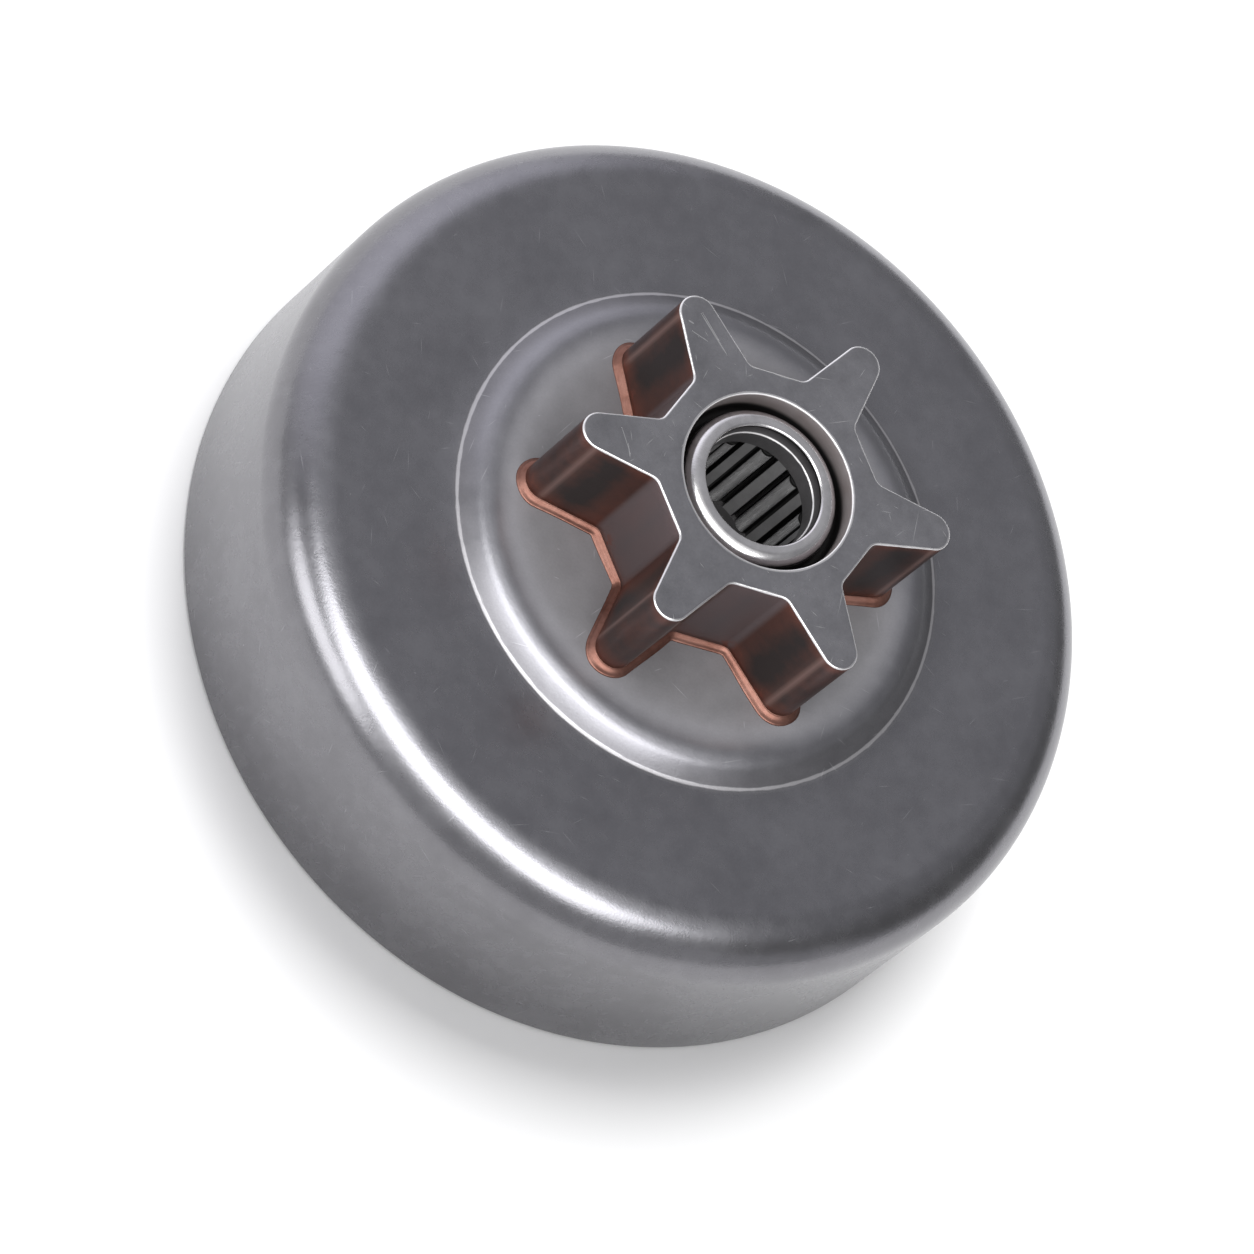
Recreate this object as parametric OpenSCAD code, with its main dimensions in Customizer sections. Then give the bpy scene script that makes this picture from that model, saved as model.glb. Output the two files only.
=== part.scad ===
// Clutch drum with a brazed chain sprocket, for a small chainsaw.
// A deep-drawn steel cup carries a six-tooth spur sprocket on its web. The sprocket's bore
// holds a drawn-cup needle bearing, on which the drum idles until the clutch shoes grip it.
// Millimetres. +Z runs along the axis, out of the web on the sprocket's side. The origin
// lies on the axis in the plane of the drum's open rim, and one tooth points along +X.

/* [Drum] */
// Outside diameter of the drum at its open rim
drum_d = 76; // [74:0.5:80]
// Height from the open rim to the outer face of the web
drum_h = 20.3; // [18:0.5:26]
// Thickness of the drawn sheet
sheet_t = 2.2; // [1.8:0.1:2.6]
// How much the outside of the wall narrows from the rim to the web, on the radius
wall_draft = 0.2; // [0.1:0.05:0.4]
// Outside radius of the corner between wall and web
corner_r = 4.9; // [4:0.1:6]
// Broken edge on both sides of the rim
rim_break = 0.4; // [0.2:0.1:0.6]

/* [Boss] */
// Height of the raised boss above the web
boss_h = 1.6; // [1.4:0.1:1.8]
// Radius of the corner at the boss's foot, before it is eased
boss_foot_r = 22.25; // [22:0.25:24]
// Slope of the boss's side
boss_slope = 38; // [34:1:42]
// Rounding of the boss's brow
brow_r = 1.7; // [1.4:0.1:2]
// Rounding of the boss's foot
foot_round = 0.7; // [0.4:0.1:1]

/* [Sprocket] */
// Number of teeth
teeth = 6; // [6:1:7]
// Tip radius of the sprocket
tip_r = 17; // [16:0.1:17.5]
// Rounding of each tooth's tip
tip_round = 1.69; // [1.4:0.05:1.8]
// Angle between a flank and the tooth's centreline
flank_a = 11.4; // [9:0.2:13]
// Distance from the axis to the flat floor of a tooth gap
gap_floor = 10.05; // [9.8:0.05:10.6]
// Radius of the corners between gap floor and flanks
gap_corner_r = 1.1; // [1.05:0.05:1.4]
// Height of the teeth above the boss
tooth_h = 11.4; // [10:0.5:13]
// Broken edge along the teeth's top outline
edge_break = 0.15; // [0.1:0.05:0.25]
// Radius of the spigot that locates the sprocket in the web
spigot_r = 9; // [8.6:0.1:9.4]

/* [Bearing] */
// Diameter of the crank journal that runs on the needles
journal_d = 10; // [9.6:0.1:10.4]
// Diameter of a needle
needle_d = 1.5; // [1.4:0.05:1.6]
// Wall thickness of the drawn cup
cup_t = 0.5; // [0.4:0.05:0.6]
// Length of the drawn cup
cup_l = 17; // [16:0.5:17]
// Depth of the cup's end below the sprocket's face
cup_sunk = 0.75; // [0.5:0.05:1]
// Radius of the counterbore around the cup's end
counterbore_r = 7.79; // [7.6:0.05:8]
// Depth of that counterbore
counterbore_h = 3.4; // [2.8:0.1:4]

/* [Braze] */
// Reach of the copper fillet, out over the boss and up the teeth
braze_leg = 1; // [0.7:0.1:1.1]

/* [Hidden] */
$fn = 96;

// Small overshoot that lets a cut leave the solid cleanly
over = 1;

// Drum
rim_r = drum_d / 2;
track_r = rim_r - sheet_t;
boss_z = drum_h + boss_h;
web_under_z = boss_z - sheet_t;
// Rounding inside the brow, where the sheet is pressed into the boss
brow_inside_r = 0.4;

// Sprocket
top_z = boss_z + tooth_h;
half_pitch = 180 / teeth;
tip_steps = 14;
corner_steps = 5;
spigot_proud = 3.5;
spigot_z = web_under_z - spigot_proud;
ring_leg = 0.6;
mouth_break = 0.12;
// Reach of the edge cutter beyond the edge that it breaks
cutter_reach = 0.5;

// Bearing
needle_count = 10;
needle_r = needle_d / 2;
needle_break = 0.12;
needle_end_gap = 0.06;
running_gap = 0.02;
needle_orbit = journal_d / 2 + needle_r;
raceway_r = needle_orbit + needle_r + running_gap;
cup_r = raceway_r + cup_t;
cup_bend_r = 1.1;
cup_top_z = top_z - cup_sunk;
cup_low_z = cup_top_z - cup_l;
lip_gap = 0.3;
lip_r = journal_d / 2 + lip_gap;
cage_end_gap = 0.85;
cage_l = cup_l - 2 * cup_t - 2 * cage_end_gap;
cage_mid_z = cup_top_z - cup_l / 2;
cage_in_gap = 0.2;
cage_in_r = journal_d / 2 + cage_in_gap;
cage_out_gap = 0.15;
cage_out_r = raceway_r - cage_out_gap;
cage_break = 0.12;
cage_ring_l = 1.95;
pocket_l = cage_l - 2 * cage_ring_l;
pocket_gap = 0.05;
// Width and depth of the flare at each pocket's inner mouth, on both sides of its needle
pocket_flare_w = needle_d + 0.65;
pocket_flare_h = 0.3;
needle_l = pocket_l - 2 * needle_end_gap;

// Points along an arc about c, from angle a0 to angle a1
function arc(c, r, a0, a1, steps) =
    [for (i = [0:steps]) let (a = a0 + (a1 - a0) * i / steps) c + r * [cos(a), sin(a)]];

function turned(points, a) =
    [for (p = points) [p.x * cos(a) - p.y * sin(a), p.x * sin(a) + p.y * cos(a)]];

// Mirror image in the line through the origin at angle a, in reverse order
function mirrored(points, a) =
    [for (i = [len(points) - 1:-1:0])
        let (p = points[i]) [p.x * cos(2 * a) + p.y * sin(2 * a), p.x * sin(2 * a) - p.y * cos(2 * a)]];

// Centre of a tooth's tip rounding, on a tooth that points along +X
tip_centre = [tip_r - tip_round, 0];

// Centre of a gap corner: gap_corner_r clear of both the flank line and the gap floor line.
// Each line is a unit normal n with its distance d from the axis, so the centre p solves
// p * n1 = d1 + r and p * n2 = d2 + r.
flank_normal = [cos(90 - flank_a), sin(90 - flank_a)];
floor_normal = [cos(half_pitch), sin(half_pitch)];
flank_d = tip_centre * flank_normal + tip_round + gap_corner_r;
floor_d = gap_floor + gap_corner_r;
det = flank_normal.x * floor_normal.y - flank_normal.y * floor_normal.x;
corner_centre = [(flank_d * floor_normal.y - floor_d * flank_normal.y) / det,
                 (floor_d * flank_normal.x - flank_d * floor_normal.x) / det];

// One tooth and the gap after it. The arcs keep their centres, so a positive inset gives
// the parallel curve inside the outline and a negative one the curve outside it.
function gap_corner(inset) =
    arc(corner_centre, gap_corner_r + inset, 270 - flank_a, 180 + half_pitch, corner_steps);
function tooth(inset) =
    concat(arc(tip_centre, tip_round - inset, flank_a - 90, 90 - flank_a, tip_steps),
           gap_corner(inset),
           mirrored(gap_corner(inset), half_pitch));
function star(inset) =
    [for (k = [0:teeth - 1]) each turned(tooth(inset), 2 * half_pitch * k)];

function lifted(points, z) = [for (p = points) [p.x, p.y, z]];

// Ring that follows the teeth's outline at height z. Its section is a loop of points, each
// a reach outwards from the outline and a height above z, in counterclockwise order.
module along_teeth(section, z) {
    n = len(star(0));
    m = len(section);
    points = [for (p = section) each lifted(star(-p.x), z + p.y)];
    faces = [for (j = [0:m - 1], i = [0:n - 1])
        let (this = j * n, that = (j + 1) % m * n, next = (i + 1) % n)
            [this + i, that + i, that + next, this + next]];
    polyhedron(points, faces);
}

// Half section of everything inside the drum's skin, drawn at a depth below that skin. The
// corner and brow arcs keep their centres, so two depths give a sheet of even thickness.
module drum_fill(depth, draft) {
    foot_r = rim_r - depth;
    head_r = foot_r - draft;
    round_r = corner_r - depth;
    shoulder_z = drum_h - corner_r;
    // The web up to the corner, and the drafted wall below it
    square([head_r - round_r, drum_h - depth]);
    polygon([[0, 0], [foot_r, 0], [head_r, shoulder_z], [0, shoulder_z]]);
    translate([head_r - round_r, shoulder_z]) circle(round_r);
    boss_fill(depth);
}

// Half section of the boss: a plateau and a straight slope, with a rounded brow and foot
module boss_fill(depth) {
    slope_run = boss_h / tan(boss_slope);
    foot = [boss_foot_r - depth * tan(boss_slope / 2), drum_h - depth];
    brow = foot + [-slope_run, boss_h];
    difference() {
        polygon([[0, foot.y - over], [foot.x, foot.y - over], foot, brow, [0, brow.y]]);
        easing(brow, max(brow_r - depth, brow_inside_r), 1);
    }
    easing(foot, foot_round + depth, -1);
}

// What a rounding takes off the brow (side 1) or fills in at the foot (side -1)
module easing(corner, radius, side) {
    reach = side * radius * tan(boss_slope / 2);
    difference() {
        polygon([corner, corner - [reach, 0], corner + reach * [cos(boss_slope), -sin(boss_slope)]]);
        translate(corner - [reach, side * radius]) circle(radius);
    }
}

module drum() {
    color("dimgray") rotate_extrude($fn = 180) difference() {
        drum_fill(0, wall_draft);
        drum_fill(sheet_t, 0);
        // Hole for the sprocket's spigot
        square([spigot_r, boss_z + over]);
        // Broken edges of the rim
        polygon([[rim_r - rim_break, 0], [rim_r, 0], [rim_r, rim_break]]);
        polygon([[track_r, 0], [track_r + rim_break, 0], [track_r, rim_break]]);
    }
}

module sprocket() {
    color("silver") difference() {
        union() {
            translate([0, 0, boss_z]) linear_extrude(tooth_h) polygon(star(0));
            translate([0, 0, spigot_z]) cylinder(h = boss_z - spigot_z, r = spigot_r);
        }
        along_teeth([[cutter_reach, -edge_break - cutter_reach],
                     [cutter_reach, cutter_reach],
                     [-edge_break - cutter_reach, cutter_reach]], top_z);
        // Seat of the bearing cup, with a lead-in at its lower end
        translate([0, 0, spigot_z - over]) cylinder(h = top_z - spigot_z + 2 * over, r = cup_r);
        translate([0, 0, spigot_z]) cylinder(h = rim_break, r1 = cup_r + rim_break, r2 = cup_r);
        // Counterbore around the cup's upper end, with a broken mouth
        translate([0, 0, top_z - counterbore_h]) cylinder(h = counterbore_h + over, r = counterbore_r);
        translate([0, 0, top_z - mouth_break])
            cylinder(h = mouth_break, r1 = counterbore_r, r2 = counterbore_r + mouth_break);
    }
}

// Copper drawn into the corner between teeth and boss, following the teeth's outline
module braze_fillet() {
    hollow = [[1, 0], [1 - cos(60), 1 - sin(60)], [1 - cos(30), 1 - sin(30)], [0, 1]];
    section = concat([[0, 0]], hollow) * braze_leg;
    color("peru") along_teeth(section, boss_z);
}

// Copper ring on the clutch side, between the spigot and the web
module braze_ring() {
    color("peru") rotate_extrude() translate([spigot_r, web_under_z]) difference() {
        translate([0, -ring_leg]) square(ring_leg);
        translate([ring_leg, -ring_leg]) circle(ring_leg);
    }
}

// Half section of a drawn cup with rounded ends
module cup_fill(r, low_z, high_z, round_r) {
    translate([0, low_z]) square([r - round_r, high_z - low_z]);
    translate([0, low_z + round_r]) square([r, high_z - low_z - 2 * round_r]);
    for (z = [low_z + round_r, high_z - round_r]) translate([r - round_r, z]) circle(round_r);
}

module bearing_cup() {
    color("gainsboro") rotate_extrude() difference() {
        cup_fill(cup_r, cup_low_z, cup_top_z, cup_bend_r);
        cup_fill(raceway_r, cup_low_z + cup_t, cup_top_z - cup_t, cup_bend_r - cup_t);
        translate([0, cup_low_z - over]) square([lip_r, cup_l + 2 * over]);
    }
}

// Section of the pocket for a needle along +X: a bore that holds the needle, open to the
// raceway and flared to the journal
module pocket_section() {
    translate([needle_orbit, 0]) circle(needle_r + pocket_gap, $fn = 32);
    translate([needle_orbit, -needle_r]) square(needle_d);
    translate([0, -pocket_flare_w / 2]) square([cage_in_r + pocket_flare_h, pocket_flare_w]);
}

module bearing_cage() {
    color("darkgray") translate([0, 0, cage_mid_z]) difference() {
        cylinder(h = cage_l, r = cage_out_r, center = true);
        cylinder(h = cage_l + over, r = cage_in_r, center = true);
        for (side = [0, 1]) mirror([0, 0, side]) translate([0, 0, cage_l / 2 - cage_break])
            cylinder(h = cage_break, r1 = cage_in_r, r2 = cage_in_r + cage_break);
        linear_extrude(pocket_l, center = true)
            for (k = [0:needle_count - 1]) rotate(k * 360 / needle_count) pocket_section();
    }
}

module needle(number) {
    straight = needle_l - 2 * needle_break;
    color("lightgray") rotate((number - 1) * 360 / needle_count)
        translate([needle_orbit, 0, cage_mid_z]) {
            cylinder(h = straight, r = needle_r, center = true, $fn = 32);
            for (side = [0, 1]) mirror([0, 0, side]) translate([0, 0, straight / 2])
                cylinder(h = needle_break, r1 = needle_r, r2 = needle_r - needle_break, $fn = 32);
        }
}

drum();
sprocket();
braze_fillet();
braze_ring();
bearing_cup();
bearing_cage();
needle(1);  // needle_01
needle(2);  // needle_02
needle(3);  // needle_03
needle(4);  // needle_04
needle(5);  // needle_05
needle(6);  // needle_06
needle(7);  // needle_07
needle(8);  // needle_08
needle(9);  // needle_09
needle(10);  // needle_10
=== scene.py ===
# %% [markdown]
# # A clutch drum with a brazed sprocket
# The part is the clutch drum of a small chainsaw: a deep-drawn steel cup, a six-tooth sprocket
# brazed to its web, and a needle bearing in the sprocket's bore. The solids come from the
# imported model. This file gives them their finish, and the camera and light of a product shot.

# %% Load the frame
import math

import bpy
import numpy as np
from mathutils import Matrix, Vector


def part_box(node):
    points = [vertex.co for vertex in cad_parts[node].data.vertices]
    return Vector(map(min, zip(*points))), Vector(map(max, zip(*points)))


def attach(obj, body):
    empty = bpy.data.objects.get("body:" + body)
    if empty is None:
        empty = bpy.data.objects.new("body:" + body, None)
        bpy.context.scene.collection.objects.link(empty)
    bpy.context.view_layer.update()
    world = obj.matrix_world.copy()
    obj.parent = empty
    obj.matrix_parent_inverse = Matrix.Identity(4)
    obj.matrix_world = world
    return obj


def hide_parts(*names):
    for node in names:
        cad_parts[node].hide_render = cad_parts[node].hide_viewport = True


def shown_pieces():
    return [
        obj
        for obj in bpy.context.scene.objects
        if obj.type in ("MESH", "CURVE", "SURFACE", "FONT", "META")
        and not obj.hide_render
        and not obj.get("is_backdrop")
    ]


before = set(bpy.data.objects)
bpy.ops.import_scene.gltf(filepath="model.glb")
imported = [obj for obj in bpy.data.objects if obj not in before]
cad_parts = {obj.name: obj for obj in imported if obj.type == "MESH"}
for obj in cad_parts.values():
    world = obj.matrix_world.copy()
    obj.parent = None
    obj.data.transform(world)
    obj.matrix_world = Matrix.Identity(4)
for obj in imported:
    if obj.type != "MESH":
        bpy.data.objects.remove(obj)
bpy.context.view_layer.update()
MM = 0.001
rng = np.random.default_rng(17)

# %% [markdown]
# ## Sizes
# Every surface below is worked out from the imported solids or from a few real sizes, in
# millimetres. What can be read off a solid's box is read there, so the dressed pieces stay
# where the solids are.


# %% Sizes from the frame
def box_mm(node):
    """A node's lowest and highest corner, in millimetres."""
    low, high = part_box(node)
    return np.array(low) / MM, np.array(high) / MM


rim_r = round(box_mm("drum")[1][0], 1)
boss_z = box_mm("drum")[1][2]
top_z = box_mm("sprocket")[1][2]
tip_r = round(box_mm("sprocket")[1][0], 1)
spigot_z = box_mm("sprocket")[0][2]
cup_r = box_mm("bearing_cup")[1][0]
cup_low_z, cup_top_z = box_mm("bearing_cup")[0][2], box_mm("bearing_cup")[1][2]
cage_top_z = box_mm("bearing_cage")[1][2]
print(f"rim radius {rim_r:.2f}, boss {boss_z:.2f}, sprocket's face {top_z:.2f}, tips {tip_r:.2f}")

# %% Sizes of the drawn sheet and the teeth
sheet_t = 2.2
wall_draft = 0.2
corner_r = 4.9
rim_round = 0.4
boss_h = 1.6
boss_foot_r = 22.25
boss_slope = math.radians(38)
brow_r = 1.7
brow_look_r = 3.0
brow_inside_r = 0.4
foot_round = 0.7
web_z = boss_z - boss_h
heel_r = 24.6
heel_curve_r = 20.0
spigot_r = 9.0
tip_round = 1.69
flank_a = math.radians(11.4)
gap_floor = 10.05
gap_corner_r = 1.1
teeth = 6
half_pitch = math.pi / teeth
counterbore_r = 7.79
counterbore_h = 3.4
print(f"web at {web_z:.2f}, gap floor {gap_floor:.2f}, {teeth} teeth")

# %% [markdown]
# ## The camera
# A long lens looks down on the drum from its sprocket side, about 55 degrees above the web,
# and is rolled by half a right angle, so the axis points to the upper right of the frame.

# %% Camera
camera_azimuth = math.radians(-129.93)
camera_elevation = math.radians(55.23)
camera_roll = math.radians(50.82)
camera_distance = 658.6 * MM
camera_aim = Vector((-3.78, -7.50, 16.0)) * MM


def compass(azimuth, elevation):
    """Unit vector at an azimuth round +Z and an elevation above the floor, both in radians."""
    flat = math.cos(elevation)
    return Vector((flat * math.cos(azimuth), flat * math.sin(azimuth), math.sin(elevation)))


toward_camera = compass(camera_azimuth, camera_elevation)
level_right = Vector((0, 0, 1)).cross(toward_camera).normalized()
level_up = toward_camera.cross(level_right)
frame_right = math.cos(camera_roll) * level_right + math.sin(camera_roll) * level_up
frame_up = math.cos(camera_roll) * level_up - math.sin(camera_roll) * level_right


def looking_along(position, right, up, back):
    """Matrix of an object at position whose X, Y and Z axes are right, up and back."""
    turn = Matrix((right, up, back)).transposed().to_4x4()
    return Matrix.Translation(position) @ turn


camera_data = bpy.data.cameras.new("camera")
camera_data.sensor_width = 36.0
camera_data.lens = 226.8
camera_data.clip_end = 20.0
camera = bpy.data.objects.new("camera", camera_data)
bpy.context.scene.collection.objects.link(camera)
camera.matrix_world = looking_along(camera_aim + camera_distance * toward_camera,
                                    frame_right, frame_up, toward_camera)
bpy.context.scene.camera = camera
bpy.context.scene.view_settings.view_transform = "Standard"
print("camera at", [round(c / MM, 1) for c in camera.location])

# %% [markdown]
# ## Grids of points
# Every new surface is a grid: row by row round a path, column by column along a section.
# Where the section is a loop too, the grid closes both ways and the surface is watertight.
# A grid can carry marks as well: a number or a vector for each point, such as its distance
# from an edge. Materials read them by name, so wear and colour follow the surface exactly.


# %% From a grid to a mesh
def grid_object(name, points, body, node, marks=None):
    """Mesh over points, an array (rows, columns, 3) in millimetres that closes both ways.

    Face (i, j) joins points (i, j), (i + 1, j), (i + 1, j + 1) and (i, j + 1), and all faces
    are turned over together if the volume that they enclose comes out negative.
    """
    rows, columns = points.shape[:2]
    i, j = np.meshgrid(np.arange(rows), np.arange(columns), indexing="ij")
    i1, j1 = (i + 1) % rows, (j + 1) % columns
    quads = np.stack([i * columns + j, i1 * columns + j, i1 * columns + j1, i * columns + j1], -1)
    quads = quads.reshape(-1, 4)
    vertices = points.reshape(-1, 3) * MM
    a, b, c, d = (vertices[quads[:, k]] for k in range(4))
    volume = (np.cross(b - a, c - a) * a).sum() + (np.cross(c - a, d - a) * a).sum()
    if volume < 0:
        quads = quads[:, ::-1]
    mesh = bpy.data.meshes.new(name)
    mesh.vertices.add(len(vertices))
    mesh.vertices.foreach_set("co", vertices.astype(np.float32).ravel())
    mesh.loops.add(quads.size)
    mesh.loops.foreach_set("vertex_index", quads.astype(np.int32).ravel())
    mesh.polygons.add(len(quads))
    mesh.polygons.foreach_set("loop_start", np.arange(0, quads.size, 4, dtype=np.int32))
    mesh.polygons.foreach_set("use_smooth", np.ones(len(quads), dtype=bool))
    mesh.update(calc_edges=True)
    for label, values in (marks or {}).items():
        kind, field = ("FLOAT", "value") if values.ndim == 2 else ("FLOAT_VECTOR", "vector")
        mark = mesh.attributes.new(label, kind, "POINT")
        mark.data.foreach_set(field, values.astype(np.float32).ravel())
    piece = bpy.data.objects.new(name, mesh)
    bpy.context.scene.collection.objects.link(piece)
    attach(piece, body)
    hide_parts(node)
    print(f"{name}: {len(quads)} quads, {abs(volume) / 6 / MM ** 3:.0f} mm3")
    return piece


# %% Arcs, lines and turned outlines
quarter = math.pi / 2


def arc(centre, radius, start, end, steps):
    """Points about centre at radius, from angle start to angle end, both included."""
    a = np.linspace(start, end, steps + 1)
    return np.stack([centre[0] + radius * np.cos(a), centre[1] + radius * np.sin(a)], 1)


def line(start, end, steps):
    """Points from start to end, both included."""
    t = np.linspace(0, 1, steps + 1)[:, None]
    return (1 - t) * np.array(start, float) + t * np.array(end, float)


def loop_of(*runs):
    """One closed outline from runs of points, without the doubles where two runs meet."""
    points = np.concatenate(runs)
    step = np.linalg.norm(points - np.roll(points, 1, axis=0), axis=1)
    return points[step > 1e-6]


def revolved(outline, steps):
    """Grid of a closed (radius, height) outline turned about Z: x = r cos a, y = r sin a."""
    a = np.linspace(0, 2 * np.pi, steps, endpoint=False)[:, None]
    r, z = outline[:, 0][None], outline[:, 1][None]
    return np.stack([r * np.cos(a), r * np.sin(a), z + 0 * a], -1)


def waves(a, orders, sizes):
    """Smooth ripple over an angle a: a sum of size * cos(order * a + phase), phases drawn."""
    phases = rng.uniform(0, 2 * np.pi, len(orders))
    return sum(s * np.cos(n * a + p) for n, s, p in zip(orders, sizes, phases))


# %% [markdown]
# ## The drum
# The drum is drawn from one sheet in a press: a cup with a well-rounded corner, and a shallow
# boss pressed up in the middle of its web. Its section is one closed outline of arcs and
# straight runs, turned about the axis. A press never leaves a perfect surface, so the sheet
# ripples by a few hundredths of a millimetre, which makes its highlights wander a little. The
# brow is a touch softer here than in the solid, and the web rises by a tenth of a millimetre
# towards the foot, as the sheet does where the punch lets go of it. Both give the boss its glow.


# %% The drum's section
brow_steps, slope_steps, foot_steps = 14, 4, 12
web_steps, corner_steps, wall_steps = 26, 40, 8
rim_steps, hole_steps = 6, 6


def drum_side(depth, draft):
    """Brow, foot, web, corner and wall at a depth below the drum's skin.

    Slope and web meet at the foot, and slope and plateau at the brow. Each of the two corners
    is eased by an arc whose centre lies radius * tan(slope / 2) back from it, and one radius
    below it (brow) or above it (foot).
    """
    foot = np.array([boss_foot_r - depth * math.tan(boss_slope / 2), web_z - depth])
    brow = foot + [-boss_h / math.tan(boss_slope), boss_h]
    brow_ease = max(brow_r - depth, brow_inside_r) if depth else brow_look_r
    foot_ease = foot_round + depth
    back = np.array([math.tan(boss_slope / 2), 1.0])
    brow_arc = arc(brow - brow_ease * back, brow_ease, quarter, quarter - boss_slope, brow_steps)
    foot_arc = arc(foot + foot_ease * back, foot_ease,
                   3 * quarter - boss_slope, 3 * quarter, foot_steps)
    wall_r = rim_r - depth - draft
    corner = (wall_r - corner_r + depth, web_z - corner_r)
    return np.concatenate([brow_arc,
                           line(brow_arc[-1], foot_arc[0], slope_steps),
                           foot_arc,
                           line(foot_arc[-1], (corner[0], web_z - depth), web_steps),
                           arc(corner, corner_r - depth, quarter, 0, corner_steps),
                           line((wall_r, corner[1]), (rim_r - depth, rim_round), wall_steps)])


outside = drum_side(0, wall_draft)
foot_first = (brow_steps + 1) + (slope_steps + 1)
heel = np.clip(heel_r - outside[:, 0], 0, heel_r - boss_foot_r) ** 2 / (2 * heel_curve_r)
brow_line_r = boss_foot_r - boss_h / math.tan(boss_slope)
outside[:, 1] += heel * np.clip((outside[:, 0] - brow_line_r) / (boss_foot_r - brow_line_r), 0, 1)
inside = drum_side(sheet_t, 0)
track_r = rim_r - sheet_t
outer_centre, inner_centre = (rim_r - rim_round, rim_round), (track_r + rim_round, rim_round)
rim = np.concatenate([arc(outer_centre, rim_round, 0, -quarter, rim_steps),
                      arc(inner_centre, rim_round, -quarter, -math.pi, rim_steps)])
hole_top = line((spigot_r, boss_z), outside[0], hole_steps)
hole_low = line(inside[0], (spigot_r, boss_z - sheet_t), hole_steps)
drum_outline = loop_of(hole_top, outside, rim, inside[::-1], hole_low,
                       line((spigot_r, boss_z - sheet_t), (spigot_r, boss_z), 3))
brow_mid = outside[brow_steps // 2]
foot_mid = outside[foot_first + foot_steps // 2]
print("drum outline:", len(drum_outline), "points")

# %% [markdown]
# The drum's finish follows the flat blank that it was drawn from. Each point keeps its place
# in the blank as a mark: its distance from the hole, measured along the sheet, becomes its
# radius there. A pattern that is even on the blank is then stretched down the wall, just as
# the press stretches the rolled skin of the real sheet. The sheet's inner side lies higher in
# the pattern's space, so the two sides don't share their spots.

# %% The drum's mesh
drum_turns = 360
ripple_orders, ripple_sizes = (2, 3, 5, 9), (0.020, 0.012, 0.008, 0.004)
drum_grid = revolved(drum_outline, drum_turns)
angle = np.arctan2(drum_grid[..., 1], drum_grid[..., 0])
radius = np.hypot(drum_grid[..., 0], drum_grid[..., 1])
far_out = np.clip((radius - boss_foot_r) / (rim_r - boss_foot_r), 0, 1)
ripple = waves(angle, ripple_orders, ripple_sizes) * far_out
drum_grid[..., 0] -= np.abs(ripple) * np.cos(angle)
drum_grid[..., 1] -= np.abs(ripple) * np.sin(angle)
steps = np.linalg.norm(np.diff(drum_outline, axis=0), axis=1)
run = np.concatenate([[0], np.cumsum(steps)])
blank_r = spigot_r + np.minimum(run, run[-1] - run)


def blank_r_at(point):
    """Radius on the blank of the outline's point that lies nearest to a point of the section."""
    return blank_r[np.linalg.norm(drum_outline - point, axis=1).argmin()]


brow_blank_r, foot_blank_r = blank_r_at(brow_mid), blank_r_at(foot_mid)
corner_blank_r = rim_r - wall_draft - corner_r
print(f"brow at {brow_blank_r:.2f} and foot at {foot_blank_r:.2f} on the blank")
sheet_side = np.where(run > run[-1] / 2, rim_r, 0.0)
blank = np.stack([blank_r * np.cos(angle), blank_r * np.sin(angle), sheet_side + 0 * angle], -1)
drum = grid_object("drum_shell", drum_grid, "drum_body", "drum", {"blank": blank})

# %% [markdown]
# ## The sprocket
# The teeth are one outline: a small arc at each tip, straight flanks, and a flat floor in each
# gap with a rounded corner at both ends. Arcs that keep their centres give the same outline
# at any inset, which is how the edges are rounded. The section then runs up the flank, over
# the edge, across the face to the counterbore, down the bore and back under the teeth.


# %% Outline of the teeth
flank_normal = np.array([math.sin(flank_a), math.cos(flank_a)])
floor_normal = np.array([math.cos(half_pitch), math.sin(half_pitch)])
tip_centre = np.array([tip_r - tip_round, 0.0])
corner_distances = [tip_centre @ flank_normal + tip_round + gap_corner_r, gap_floor + gap_corner_r]
corner_centre = np.linalg.solve(np.array([flank_normal, floor_normal]), corner_distances)
tip_points, corner_points, flank_steps, gap_steps = 13, 9, 12, 4


def half_tooth(inset):
    """Outline from a tooth's tip to the middle of the gap after it, moved in by inset.

    Tip and corner are arcs about fixed centres with radii tip_round - inset and
    gap_corner_r + inset, and the runs between them are their common tangents.
    """
    tip_a = np.linspace(0, quarter - flank_a, tip_points)
    corner_a = np.linspace(3 * quarter - flank_a, math.pi + half_pitch, corner_points)
    tip = tip_centre + (tip_round - inset) * np.stack([np.cos(tip_a), np.sin(tip_a)], 1)
    corner = corner_centre + (gap_corner_r + inset) * np.stack([np.cos(corner_a), np.sin(corner_a)], 1)
    middle = (gap_floor - inset) * floor_normal
    return np.concatenate([tip[:-1], line(tip[-1], corner[0], flank_steps), corner[1:-1],
                           line(corner[-1], middle, gap_steps)])


def turned(points, a):
    """Points (x, y) turned about the origin by the angle a."""
    return points @ np.array([[math.cos(a), math.sin(a)], [-math.sin(a), math.cos(a)]])


def star(inset):
    """The whole outline: each half tooth, its mirror image, and both turned tooth by tooth."""
    half = half_tooth(inset)
    across = (half * [1, -1])[1:-1][::-1]
    tooth = np.concatenate([half, turned(across, 2 * half_pitch)])
    return np.concatenate([turned(tooth, 2 * half_pitch * k) for k in range(teeth)])


outline_count = len(star(0))
print("teeth outline:", outline_count, "points")

# %% The sprocket's section
edge_round = 0.14
mouth_round = 0.12
far_off = 9.0
seat_r = cup_r
floor_z = top_z - counterbore_h
star_angle = np.arctan2(star(0)[:, 1], star(0)[:, 0])


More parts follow.
